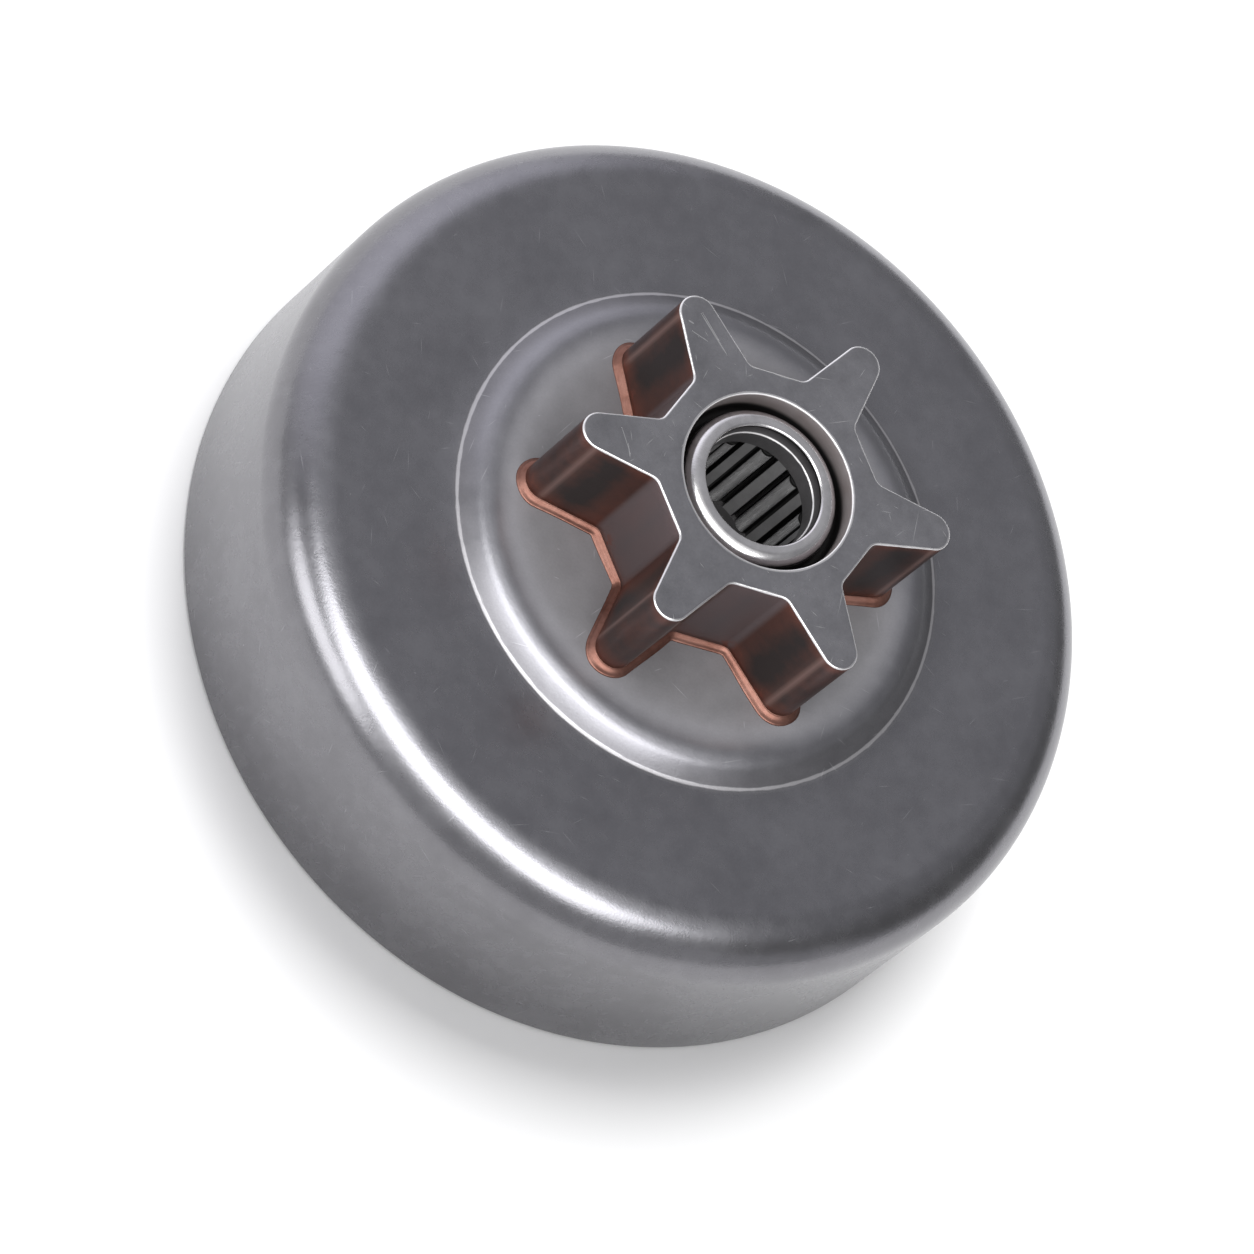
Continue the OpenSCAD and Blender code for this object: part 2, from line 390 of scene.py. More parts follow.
def ring(r, z):
    """Circle of radius r at height z, with one point for each point of the teeth's outline."""
    return np.stack([r * np.cos(star_angle), r * np.sin(star_angle), np.full(outline_count, z)], 1)


def level(inset, z):
    """The teeth's outline at an inset, at height z."""
    return np.column_stack([star(inset), np.full(outline_count, z)])


# %% [markdown]
# Each column of the sprocket's grid comes with two distances: how far it lies from the edge of
# the teeth and from the mouth of the counterbore. Both are negative down the walls and
# positive across the face, so one number tells the finishes where the ground face ends, and
# far_off stands where a distance has no meaning. Three more marks say how near a point is to a
# gap's corner, to a tooth's tip and to the line where the tip's rounding runs into the flank:
# the scale on the flanks differs near corners and tips, and that line carries a painted highlight.

# %% The sprocket's mesh
flank_rows, edge_rows, face_rows, mouth_rows = 12, 6, 11, 5
bore_rows, floor_rows, seat_rows = 6, 3, 6
mouth_r = counterbore_r + mouth_round
columns = [(level(0, z), z - top_z, far_off)
           for z in np.linspace(boss_z, top_z - edge_round, flank_rows)]
for a in np.linspace(0, quarter, edge_rows)[1:]:
    inset, below = edge_round * (1 - math.cos(a)), edge_round * (1 - math.sin(a))
    columns.append((level(inset, top_z - below), inset - below, far_off))
face_start, face_end = level(edge_round, top_z), ring(mouth_r, top_z)
face_width = np.linalg.norm(face_start - face_end, axis=1)
for share in np.linspace(0, 1, face_rows)[1:]:
    columns.append(((1 - share) * face_start + share * face_end,
                    edge_round + share * face_width, (1 - share) * face_width))
for a in np.linspace(0, quarter, mouth_rows)[1:]:
    wider, below = mouth_round * (1 - math.sin(a)), mouth_round * (1 - math.cos(a))
    columns.append((ring(counterbore_r + wider, top_z - below), far_off, -mouth_round * a / quarter))
columns += [(ring(counterbore_r, z), far_off, z - top_z)
            for z in np.linspace(top_z - mouth_round, floor_z, bore_rows)[1:]]
columns += [(ring(r, floor_z), far_off, -counterbore_h)
            for r in np.linspace(counterbore_r, seat_r, floor_rows)[1:]]
columns += [(ring(seat_r, z), far_off, -counterbore_h)
            for z in np.linspace(floor_z, spigot_z + rim_round, seat_rows)[1:]]
columns += [(ring(r, z), far_off, -counterbore_h)
            for r, z in ((seat_r + rim_round, spigot_z), (spigot_r, spigot_z), (spigot_r, boss_z))]
sprocket_grid = np.stack([points for points, _, _ in columns], 1)
from_edge = np.stack([np.broadcast_to(e, outline_count) for _, e, _ in columns], 1)
from_mouth = np.stack([np.broadcast_to(m, outline_count) for _, _, m in columns], 1)


def all_round(point):
    """A point of the first half tooth, mirrored and turned to every other half tooth."""
    return np.concatenate([turned(point[None] * [1, side], 2 * half_pitch * k)
                           for k in range(teeth) for side in (1, -1)])


def nearness(point, r, reach):
    """1 within r of a point that repeats tooth by tooth, fading as exp(-(gap / reach)^2)."""
    gap = np.linalg.norm(star(0)[:, None] - all_round(point)[None], axis=2).min(1) - r
    along_outline = np.exp(-(np.clip(gap, 0, None) / reach) ** 2)
    return np.repeat(along_outline[:, None], len(columns), 1)


corner_reach, tip_reach, tip_highlight_reach = 1.3, 0.8, 0.3
flank_marks = {"from_edge": from_edge, "from_mouth": from_mouth,
               "in_corner": nearness(corner_centre, gap_corner_r, corner_reach),
               "on_tip": nearness(tip_centre, tip_round, tip_reach),
               "tip_highlight_line": nearness(tip_centre + tip_round * flank_normal, 0, tip_highlight_reach)}
sprocket = grid_object("sprocket_body", sprocket_grid, "drum_body", "sprocket", flank_marks)

# %% [markdown]
# ## The braze
# Copper melted round the foot of the teeth and was drawn into the corner. It stands as a soft
# bead of uneven width, so its reach over the boss and up the flank ripples along the teeth.

# %% The braze bead
bead_reach = 0.64
bead_rise = 0.55
bead_fullness = 0.55
bead_rows = 10
along = np.linspace(0, 2 * np.pi, outline_count, endpoint=False)
reach = bead_reach * (1 + waves(along, (7, 13, 22, 37), (0.05, 0.05, 0.04, 0.03)))
rise = bead_rise * (1 + waves(along, (5, 11, 19), (0.08, 0.06, 0.05)))
outline_in, outline_out = star(0), star(-bead_reach)
outward = (outline_out - outline_in) / bead_reach
bead_columns = [np.column_stack([outline_in, np.full(outline_count, boss_z)])]
across_bead = [0.0]
for a in np.linspace(0, quarter, bead_rows):
    bulge = bead_fullness * math.sin(2 * a)
    out = reach * ((1 - math.sin(a)) * (1 - bulge) + bulge * math.cos(a))
    up = rise * ((1 - math.cos(a)) * (1 - bulge) + bulge * math.sin(a))
    bead_columns.append(np.column_stack([outline_in + outward * out[:, None], boss_z + up]))
    across_bead.append(a / quarter)
across = np.broadcast_to(np.array(across_bead)[None], (outline_count, len(bead_columns)))
bead_grid = np.stack(bead_columns, 1)
braze = grid_object("braze_bead", bead_grid, "drum_body", "braze_fillet", {"across": across})

# %% [markdown]
# ## The bearing
# A drawn cup is pressed into the bore. Its ends are turned in to a lip, which shows as a bright
# rounded ring. Inside it the cage keeps ten ground needles apart, and the crank runs on them.

# %% The bearing's cup
cup_t = 0.5
cup_bend_r = 1.1
lip_r = 5.3
bend_steps, lip_steps, cup_turns = 16, 10, 180


def cup_end(r, z, bend, side):
    """Quarter bend of the cup's skin at radius r and end height z; side is 1 above, -1 below."""
    return arc((r - bend, z - side * bend), bend, 0, side * quarter, bend_steps)


def lip(z):
    """Half circle round the sheet's cut edge, whose middle lies at height z."""
    return arc((lip_r + cup_t / 2, z), cup_t / 2, quarter, 3 * quarter, lip_steps)


cup_outline = loop_of(cup_end(cup_r, cup_low_z, cup_bend_r, -1)[::-1],
                      cup_end(cup_r, cup_top_z, cup_bend_r, 1),
                      lip(cup_top_z - cup_t / 2),
                      cup_end(cup_r - cup_t, cup_top_z - cup_t, cup_bend_r - cup_t, 1)[::-1],
                      cup_end(cup_r - cup_t, cup_low_z + cup_t, cup_bend_r - cup_t, -1),
                      lip(cup_low_z + cup_t / 2))
cup = grid_object("cup_shell", revolved(cup_outline, cup_turns), "drum_body", "bearing_cup")

# %% The needles
needle_r = 0.75
needle_dome = 0.12
needle_eye = 0.02
needle_count = 10
dome_steps, needle_turns = 5, 48
rollers = []
for k in range(needle_count):
    name = f"needle_{k + 1:02d}"
    low, high = box_mm(name)
    centre = (low + high) / 2
    half = (high[2] - low[2]) / 2
    dome_r = needle_r - needle_dome
    side = np.concatenate([arc((dome_r, half - needle_dome), needle_dome, quarter, 0, dome_steps),
                           arc((dome_r, needle_dome - half), needle_dome, 0, -quarter, dome_steps)])
    outline = loop_of([(needle_eye, half)], side, [(needle_eye, -half)])
    grid = revolved(outline, needle_turns) + centre
    rollers.append(grid_object(f"roller_{k + 1:02d}", grid, f"{name}_body", name))

# %% [markdown]
# ## Building blocks for the finishes
# A material is a small network of nodes. These helpers keep each step on one line: a plain
# number is set on a socket and another node's output is linked to it. Every pattern is in
# millimetres on the piece itself, so it keeps its real size and stays on the metal.


# %% Node helpers
def put(tree, kind, **settings):
    """New node of a kind in a tree, with its settings."""
    new = tree.nodes.new(kind)
    for key, value in settings.items():
        setattr(new, key, value)
    return new


def feed(tree, socket, value):
    """Link another node's output to a socket, or set the socket to a plain value."""
    if isinstance(value, bpy.types.NodeSocket):
        tree.links.new(value, socket)
    else:
        socket.default_value = value


def calc(tree, operation, *values):
    """Result of a math node."""
    new = put(tree, "ShaderNodeMath", operation=operation)
    for socket, value in zip(new.inputs, values):
        feed(tree, socket, value)
    return new.outputs[0]


def vector_calc(tree, operation, first, second):
    """Result of a vector math node."""
    new = put(tree, "ShaderNodeVectorMath", operation=operation)
    feed(tree, new.inputs[0], first)
    feed(tree, new.inputs["Scale"] if operation == "SCALE" else new.inputs[1], second)
    return new.outputs["Value" if operation in ("LENGTH", "DOT_PRODUCT") else "Vector"]


def times(tree, first, second):
    """Product of two values."""
    return calc(tree, "MULTIPLY", first, second)


def parts_of(tree, vector):
    """The x, y and z of a vector."""
    new = put(tree, "ShaderNodeSeparateXYZ")
    feed(tree, new.inputs[0], vector)
    return new.outputs


def off_axis(tree, vector):
    """Distance of a point from the axis: the length of (x, y, 0)."""
    return vector_calc(tree, "LENGTH", vector_calc(tree, "MULTIPLY", vector, (1, 1, 0)), (0, 0, 0))


def step_between(tree, value, low, high):
    """Smooth step: 0 where value is at low, 1 where it is at high, whichever is larger."""
    new = put(tree, "ShaderNodeMapRange", interpolation_type="SMOOTHSTEP")
    feed(tree, new.inputs["Value"], value)
    feed(tree, new.inputs["From Min"], low)
    feed(tree, new.inputs["From Max"], high)
    return new.outputs["Result"]


def blend(tree, share, first, second):
    """Colour between first (share 0) and second (share 1)."""
    new = put(tree, "ShaderNodeMix", data_type="RGBA", clamp_factor=True)
    for place, value in ((0, share), (6, first), (7, second)):
        if isinstance(value, tuple):
            value = (*value, 1)
        feed(tree, new.inputs[place], value)
    return new.outputs[2]


def mark(tree, label):
    """A mark carried by the mesh, as its number or, for the blank, as its vector."""
    new = put(tree, "ShaderNodeAttribute", attribute_type="GEOMETRY", attribute_name=label)
    return new.outputs["Vector"] if label == "blank" else new.outputs["Fac"]


def place_mm(tree):
    """The point's own place on the object, in millimetres."""
    return vector_calc(tree, "SCALE", put(tree, "ShaderNodeTexCoord").outputs["Object"], 1 / MM)


# %% Shared effects as node groups
def new_group(name, inputs, outputs):
    """Empty shader group with named inputs and outputs, and its input and output sockets."""
    tree = bpy.data.node_groups.new(name, "ShaderNodeTree")
    tree.interface.new_socket(name="Vector", in_out="INPUT", socket_type="NodeSocketVector")
    for label in inputs:
        tree.interface.new_socket(name=label, in_out="INPUT", socket_type="NodeSocketFloat")
    for label in outputs:
        tree.interface.new_socket(name=label, in_out="OUTPUT", socket_type="NodeSocketFloat")
    return tree, tree.nodes.new("NodeGroupInput").outputs, tree.nodes.new("NodeGroupOutput").inputs


def use(tree, group, vector, output, **values):
    """One output of a group placed in a tree with its own values."""
    new = put(tree, "ShaderNodeGroup", node_tree=group)
    feed(tree, new.inputs["Vector"], vector)
    for label, value in values.items():
        feed(tree, new.inputs[label.capitalize()], value)
    return new.outputs[output]


# %% [markdown]
# **Mottle** is the cloudy unevenness of tumbled steel. Soft noise of a given size runs from
# about -1 to 1, and each metal adds a little of it to its colour, gloss and height.

# %% Mottle
mottle, given, out = new_group("mottle", ["Size", "Detail"], ["Value"])
noise = put(mottle, "ShaderNodeTexNoise", noise_dimensions="3D")
feed(mottle, noise.inputs["Vector"], given["Vector"])
feed(mottle, noise.inputs["Scale"], calc(mottle, "DIVIDE", 1.0, given["Size"]))
feed(mottle, noise.inputs["Detail"], given["Detail"])
feed(mottle, noise.inputs["Roughness"], 0.55)
about_zero = calc(mottle, "SUBTRACT", noise.outputs[0], 0.5)
feed(mottle, out["Value"], times(mottle, about_zero, 4.0))

# %% [markdown]
# **Hairlines** are the short scratches of handling. Space is split into cells, and each cell
# holds one straight stroke about its own centre, turned by a random angle, with a random
# length. A share of the cells stays empty.

# %% Hairlines
hairlines, given, out = new_group("hairlines", ["Spacing", "Width", "Share"], ["Mask"])
cells = put(hairlines, "ShaderNodeTexVoronoi", voronoi_dimensions="3D", feature="F1")
feed(hairlines, cells.inputs["Vector"], given["Vector"])
feed(hairlines, cells.inputs["Scale"], calc(hairlines, "DIVIDE", 1.0, given["Spacing"]))
draws = put(hairlines, "ShaderNodeSeparateColor")
feed(hairlines, draws.inputs["Color"], cells.outputs["Color"])
stroke_turn = put(hairlines, "ShaderNodeVectorRotate", rotation_type="Z_AXIS")
feed(hairlines, stroke_turn.inputs["Vector"],
     vector_calc(hairlines, "SUBTRACT", given["Vector"], cells.outputs["Position"]))
feed(hairlines, stroke_turn.inputs["Angle"], times(hairlines, draws.outputs[0], 2 * math.pi))
local = parts_of(hairlines, stroke_turn.outputs[0])
stroke_reach = times(hairlines, times(hairlines, draws.outputs[1], 0.5), given["Spacing"])
within = step_between(hairlines, calc(hairlines, "ABSOLUTE", local[0]), stroke_reach, 0.0)
thin = step_between(hairlines, calc(hairlines, "ABSOLUTE", local[1]), given["Width"], 0.0)
drawn = calc(hairlines, "LESS_THAN", draws.outputs[2], given["Share"])
feed(hairlines, out["Mask"], times(hairlines, times(hairlines, within, thin), drawn))

# %% [markdown]
# **Stroke** is one scratch that is there in the photograph: a straight line on a flat face,
# from one point to another, thinning out at both ends.

# %% Stroke
stroke, given, out = new_group("stroke", ["X1", "Y1", "X2", "Y2", "Width"], ["Mask"])


def end_point(x, y):
    """Vector (x, y, 0) of two of the group's inputs."""
    new = put(stroke, "ShaderNodeCombineXYZ")
    feed(stroke, new.inputs[0], given[x])
    feed(stroke, new.inputs[1], given[y])
    return new.outputs[0]


flat = vector_calc(stroke, "MULTIPLY", given["Vector"], (1, 1, 0))
first_end = end_point("X1", "Y1")
whole = vector_calc(stroke, "SUBTRACT", end_point("X2", "Y2"), first_end)
offset = vector_calc(stroke, "SUBTRACT", flat, first_end)
share = calc(stroke, "DIVIDE", vector_calc(stroke, "DOT_PRODUCT", offset, whole),
             vector_calc(stroke, "DOT_PRODUCT", whole, whole))
share = calc(stroke, "MINIMUM", calc(stroke, "MAXIMUM", share, 0.0), 1.0)
to_line = vector_calc(stroke, "SUBTRACT", offset, vector_calc(stroke, "SCALE", whole, share))
away = vector_calc(stroke, "LENGTH", to_line, (0, 0, 0))
from_middle = calc(stroke, "ABSOLUTE", calc(stroke, "SUBTRACT", share, 0.5))
taper = step_between(stroke, from_middle, 0.56, 0.30)
feed(stroke, out["Mask"], step_between(stroke, away, times(stroke, given["Width"], taper), 0.0))

# %% [markdown]
# **Specks** are single pits and bright grains: one small dot in some of the cells.

# %% Specks
specks, given, out = new_group("specks", ["Spacing", "Radius", "Share"], ["Mask"])
cells = put(specks, "ShaderNodeTexVoronoi", voronoi_dimensions="3D", feature="F1")
feed(specks, cells.inputs["Vector"], given["Vector"])
feed(specks, cells.inputs["Scale"], calc(specks, "DIVIDE", 1.0, given["Spacing"]))
draws = put(specks, "ShaderNodeSeparateColor")
feed(specks, draws.inputs["Color"], cells.outputs["Color"])
distance = times(specks, cells.outputs["Distance"], given["Spacing"])
dot = step_between(specks, distance, given["Radius"], 0.0)
drawn = calc(specks, "LESS_THAN", draws.outputs[1], given["Share"])
feed(specks, out["Mask"], times(specks, dot, drawn))

# %% [markdown]
# ** Bare highlit edge** is the bright line along an edge: a painted highlight, and on ground
# edges also their bare metal. It takes a distance from the edge, and noise lets its width wander
# by about a third each way.

# %% Bare highlit edge
bare_highlit_edge, given, out = new_group("bare_highlit_edge", ["Distance", "Width"], ["Mask"])
wander = use(bare_highlit_edge, mottle, given["Vector"], "Value", size=1.6, detail=2.0)
edge_width = times(bare_highlit_edge, given["Width"],
                   calc(bare_highlit_edge, "ADD", 1.0, times(bare_highlit_edge, wander, 0.35)))
feed(bare_highlit_edge, out["Mask"],
     step_between(bare_highlit_edge, calc(bare_highlit_edge, "ABSOLUTE", given["Distance"]), edge_width,
                  times(bare_highlit_edge, edge_width, 0.4)))
print("node groups:", [group.name for group in bpy.data.node_groups])


# %% A metal's shader
def start_metal(name, metallic=1.0):
    """New material with a metallic shader: the material's tree and the shader's inputs."""
    material = bpy.data.materials.new(name)
    material.use_nodes = True
    shader = material.node_tree.nodes["Principled BSDF"]
    shader.inputs["Metallic"].default_value = metallic
    return material, material.node_tree, shader.inputs


def raise_surface(tree, inputs, height_mm):
    """Bend the shader's normal by a height in millimetres."""
    bump = put(tree, "ShaderNodeBump")
    bump.inputs["Distance"].default_value = MM
    feed(tree, bump.inputs["Height"], height_mm)
    feed(tree, inputs["Normal"], bump.outputs["Normal"])


def total(tree, start, *terms):
    """start plus the sum of amount * value over the (amount, value) terms."""
    value = start
    for amount, term in terms:
        value = calc(tree, "MULTIPLY_ADD", term, amount, value)
    return value


# %% [markdown]
# ## The drum's steel
# The sheet is tumbled and lightly oiled: grey with a touch of blue, satin, and glossy enough
# that the lamps draw bands on the corner. The fine grain of the tumbling breaks the bands'
# edges up. The wall and the boss's slope are painted darker as shade, and a painted highlight
# runs as a thin line along the slope's foot.
# The heat of brazing left the top of the boss matt, with a grey film that hardly mirrors the
# teeth. All of it is laid out on the blank, where each zone is a range of radii.

# %% Zones of the drum
drum_steel, tree, inputs = start_metal("drum_steel")
skin = mark(tree, "blank")
blank_place = off_axis(tree, skin)
heated = step_between(tree, blank_place, brow_blank_r + 0.2, brow_blank_r - 5.0)
dull = step_between(tree, blank_place, brow_blank_r - 0.1, brow_blank_r - 2.8)
on_brow = times(tree, step_between(tree, blank_place, brow_blank_r - 3.4, brow_blank_r - 1.8),
                step_between(tree, blank_place, brow_blank_r + 1.4, brow_blank_r + 0.2))
on_slope = times(tree, step_between(tree, blank_place, brow_blank_r + 0.1, foot_blank_r - 0.2),
                 step_between(tree, blank_place, foot_blank_r + 0.5, foot_blank_r + 0.1))
from_foot = calc(tree, "SUBTRACT", blank_place, foot_blank_r)
# Painted highlight: a thin bright line along the foot of the slope.
foot_highlight = use(tree, bare_highlit_edge, skin, "Mask", distance=from_foot, width=0.2)
down_wall = step_between(tree, blank_place, corner_blank_r - 0.5, corner_blank_r + 4.0)

# %% Unevenness of the drum
clouds = use(tree, mottle, skin, "Value", size=9.0, detail=3.0)
patches = use(tree, mottle, skin, "Value", size=1.7, detail=3.0)
grain = use(tree, mottle, skin, "Value", size=0.2, detail=1.0)
peel = use(tree, mottle, skin, "Value", size=0.9, detail=1.0)
scratches = use(tree, hairlines, skin, "Mask", spacing=2.6, width=0.05, share=0.3)
bright_specks = use(tree, specks, skin, "Mask", spacing=1.7, radius=0.09, share=0.12)
dark_specks = use(tree, specks, vector_calc(tree, "ADD", skin, (31, 17, 0)), "Mask",
                  spacing=2.3, radius=0.13, share=0.12)
tone = total(tree, 0.5, (0.34, clouds), (0.20, patches), (0.12, grain))

# %% Drum steel
web_tones = (0.258, 0.256, 0.276), (0.338, 0.336, 0.360)
# Painted shade: the wall and the boss's slope get darker copies of the web's tones.
shaded_wall_tones = (0.190, 0.187, 0.198), (0.256, 0.253, 0.267)
shaded_slope_tones = (0.15, 0.148, 0.160), (0.215, 0.212, 0.225)
heated_tones = (0.166, 0.164, 0.172), (0.228, 0.225, 0.235)
# Colour of the painted highlight at the slope's foot.
painted_foot_highlight = (0.62, 0.61, 0.63)
# Painted shade on the wall, and then on the slope.
color = blend(tree, down_wall, blend(tree, tone, *web_tones), blend(tree, tone, *shaded_wall_tones))
color = blend(tree, on_slope, color, blend(tree, tone, *shaded_slope_tones))
color = blend(tree, times(tree, foot_highlight, 0.6), color, painted_foot_highlight)
color = blend(tree, heated, color, blend(tree, tone, *heated_tones))
color = blend(tree, times(tree, dark_specks, 0.5), color, (0.10, 0.095, 0.10))
color = blend(tree, times(tree, bright_specks, 0.6), color, (0.75, 0.74, 0.76))
color = blend(tree, times(tree, scratches, 0.3), color, (0.6, 0.6, 0.62))
feed(tree, inputs["Base Color"], color)
feed(tree, inputs["Metallic"], total(tree, 1.0, (-0.72, dull), (-0.2, on_slope)))
feed(tree, inputs["Roughness"],
     total(tree, 0.27, (0.02, clouds), (0.02, patches), (0.1, scratches), (0.22, dull),
           (0.10, on_slope), (0.07, on_brow)))
raise_surface(tree, inputs, total(tree, 0.0, (0.0016, grain), (0.0022, peel), (-0.003, scratches),
                                  (-0.004, dark_specks)))
print("drum steel:", len(tree.nodes), "nodes")

# %% [markdown]
# ## The sprocket's steel
# Three finishes meet on one piece. The face is ground and scratched. Its edges are bare, and a
# painted highlight makes them bright all round. The flanks keep a dark brown scale from the
# furnace, which turns copper red in the corners, near the edges and close to the braze. A
# painted grey sheen lies on the floors of the gaps, and a painted pink highlight runs where
# each tip's rounding meets the flank.
# The counterbore is browned too, and painted black as shade deep down round the cup.

# %% Zones of the sprocket
sprocket_steel, tree, inputs = start_metal("sprocket_steel")
spot = place_mm(tree)
spot_z = parts_of(tree, spot)[2]
edge_distance, mouth_distance = mark(tree, "from_edge"), mark(tree, "from_mouth")
on_flank = step_between(tree, edge_distance, 0.0, -0.08)
in_bore = step_between(tree, mouth_distance, 0.0, -0.06)
on_face = calc(tree, "SUBTRACT", calc(tree, "SUBTRACT", 1.0, on_flank), in_bore)
bare_highlit = calc(tree, "MAXIMUM",
            use(tree, bare_highlit_edge, spot, "Mask", distance=edge_distance, width=0.21),
            use(tree, bare_highlit_edge, spot, "Mask", distance=mouth_distance, width=0.15))


def above_hub(tree, z):
    """0 at the hub's lower end, which stays clean, and 1 a little way up from it."""
    return step_between(tree, z, spigot_z + 0.2, spigot_z + 0.8)


# %% Unevenness of the sprocket
clouds = use(tree, mottle, spot, "Value", size=5.0, detail=3.0)
patches = use(tree, mottle, spot, "Value", size=1.2, detail=3.0)
grain = use(tree, mottle, spot, "Value", size=0.2, detail=1.0)
pits = use(tree, specks, spot, "Mask", spacing=1.3, radius=0.08, share=0.2)
long_scratches = use(tree, hairlines, spot, "Mask", spacing=4.2, width=0.045, share=0.3)
short_scratches = use(tree, hairlines, vector_calc(tree, "ADD", spot, (13, 7, 0)), "Mask",
                      spacing=1.5, width=0.04, share=0.35)
marks_on_face = times(tree, calc(tree, "MAXIMUM", long_scratches, short_scratches), on_face)
first_tooth = [dict(x1=-7.46, y1=13.42, x2=-4.72, y2=10.28, width=0.10),
               dict(x1=-7.30, y1=13.50, x2=-5.60, y2=11.42, width=0.06),
               dict(x1=-8.50, y1=12.40, x2=-8.00, y2=12.25, width=0.12),
               dict(x1=-8.12, y1=11.55, x2=-6.60, y2=11.02, width=0.07)]
next_tooth = [dict(x1=-13.6, y1=0.9, x2=-12.6, y2=-1.3, width=0.06),
              dict(x1=-12.9, y1=-0.4, x2=-12.6, y2=-1.6, width=0.08)]
for scratch in first_tooth + next_tooth:
    marks_on_face = calc(tree, "MAXIMUM", marks_on_face, use(tree, stroke, spot, "Mask", **scratch))

# %% Colours of face and bore
face_color = blend(tree, total(tree, 0.5, (0.30, clouds), (0.18, patches), (0.12, grain)),
                   (0.315, 0.313, 0.331), (0.466, 0.463, 0.488))
face_color = blend(tree, times(tree, marks_on_face, 0.7), face_color, (0.8, 0.8, 0.8))
face_color = blend(tree, times(tree, pits, 0.7), face_color, (0.8, 0.79, 0.78))
bore_color = blend(tree, total(tree, 0.5, (0.5, clouds)), (0.22, 0.185, 0.18), (0.33, 0.305, 0.305))
# Painted shade: the counterbore goes near black deep down, round the cup.
painted_bore_shade = times(tree, step_between(tree, mouth_distance, -1.5, -2.2), above_hub(tree, spot_z))
bore_color = blend(tree, painted_bore_shade, bore_color, (0.012, 0.011, 0.011))

# %% Colours of the flanks
dark_scale, red_scale = (0.044, 0.034, 0.032), (0.200, 0.072, 0.050)
scorched_red, painted_gap_sheen, painted_tip_highlight = (0.20, 0.070, 0.048), (0.165, 0.135, 0.138), (0.36, 0.23, 0.20)
near_braze = step_between(tree, spot_z, boss_z + 3.2, boss_z + 0.6)
near_top = step_between(tree, edge_distance, -1.6, -0.1)
redness = total(tree, -0.15, (0.55, mark(tree, "in_corner")), (0.35, mark(tree, "on_tip")),
                (0.45, near_braze), (0.35, near_top), (0.16, clouds), (0.10, patches))
sheen_in_gap = step_between(tree, off_axis(tree, spot), gap_floor + 0.9, gap_floor + 0.35)
scorched = times(tree, step_between(tree, spot_z, boss_z + 2.6, boss_z + 0.6),
                 step_between(tree, patches, 0.35, 0.60))
flank_color = blend(tree, redness, dark_scale, red_scale)
# Painted sheen: a lighter grey on the floors of the gaps.
flank_color = blend(tree, times(tree, sheen_in_gap, 0.75), flank_color, painted_gap_sheen)
# Painted highlight: pink along the line where a tip's rounding meets the flank.
flank_color = blend(tree, times(tree, mark(tree, "tip_highlight_line"), 0.6), flank_color, painted_tip_highlight)
flank_color = blend(tree, times(tree, scorched, 0.7), flank_color, scorched_red)

# %% Sprocket steel
color = blend(tree, in_bore, blend(tree, on_flank, face_color, flank_color), bore_color)
# Painted highlight: the bare edges of face and mouth are made near white.
feed(tree, inputs["Base Color"], blend(tree, bare_highlit, color, (0.86, 0.85, 0.86)))
feed(tree, inputs["Metallic"], total(tree, 1.0, (-0.5, in_bore), (-0.25, on_flank)))
feed(tree, inputs["Roughness"],
     total(tree, 0.25, (0.03, clouds), (0.02, patches), (0.16, on_flank), (0.3, in_bore),
           (0.12, marks_on_face), (0.05, bare_highlit)))
raise_surface(tree, inputs, total(tree, 0.0, (0.0010, grain), (0.0012, patches),
                                  (-0.004, marks_on_face)))
print("sprocket steel:", len(tree.nodes), "nodes")

# %% [markdown]
# ## Braze and cup
# The copper is dull and pink where it flowed thin and browner where flux burned on it. The
# cup is drawn bright and has faint clouds. Painted shade darkens the sheet's cut edge inside its
# lip and its skirt, down in the counterbore.

# %% Braze copper
braze_copper, tree, inputs = start_metal("braze_copper")
spot = place_mm(tree)
clouds = use(tree, mottle, spot, "Value", size=2.5, detail=3.0)
patches = use(tree, mottle, spot, "Value", size=0.5, detail=3.0)
burnt = use(tree, specks, spot, "Mask", spacing=1.4, radius=0.2, share=0.2)
color = blend(tree, total(tree, 0.45, (0.35, clouds), (0.25, patches)),
              (0.185, 0.085, 0.064), (0.30, 0.160, 0.128))
feed(tree, inputs["Base Color"], blend(tree, times(tree, burnt, 0.6), color, (0.16, 0.07, 0.05)))
feed(tree, inputs["Roughness"], total(tree, 0.44, (0.06, clouds), (0.04, mark(tree, "across"))))
raise_surface(tree, inputs, total(tree, 0.0, (0.004, patches), (0.010, clouds)))
print("braze copper:", len(tree.nodes), "nodes")

# %% Cup steel
cup_steel, tree, inputs = start_metal("cup_steel")
spot = place_mm(tree)
spot_z = parts_of(tree, spot)[2]
clouds = use(tree, mottle, spot, "Value", size=2.2, detail=3.0)
patches = use(tree, mottle, spot, "Value", size=0.6, detail=2.0)
grain = use(tree, mottle, spot, "Value", size=0.15, detail=1.0)
color = blend(tree, total(tree, 0.5, (0.30, clouds), (0.15, patches)),
              (0.64, 0.63, 0.645), (0.88, 0.87, 0.88))
mid_z = (spigot_z + top_z) / 2
below_lip = times(tree, step_between(tree, spot_z, mid_z, mid_z + 1.0),
                  step_between(tree, spot_z, cup_top_z - 0.08, cup_top_z - 0.20))
cut_edge = times(tree, below_lip,
                 step_between(tree, off_axis(tree, spot), lip_r + 0.30, lip_r + 0.15))
skirt = times(tree, step_between(tree, spot_z, cup_top_z - 0.75, cup_top_z - 1.1),
              above_hub(tree, spot_z))
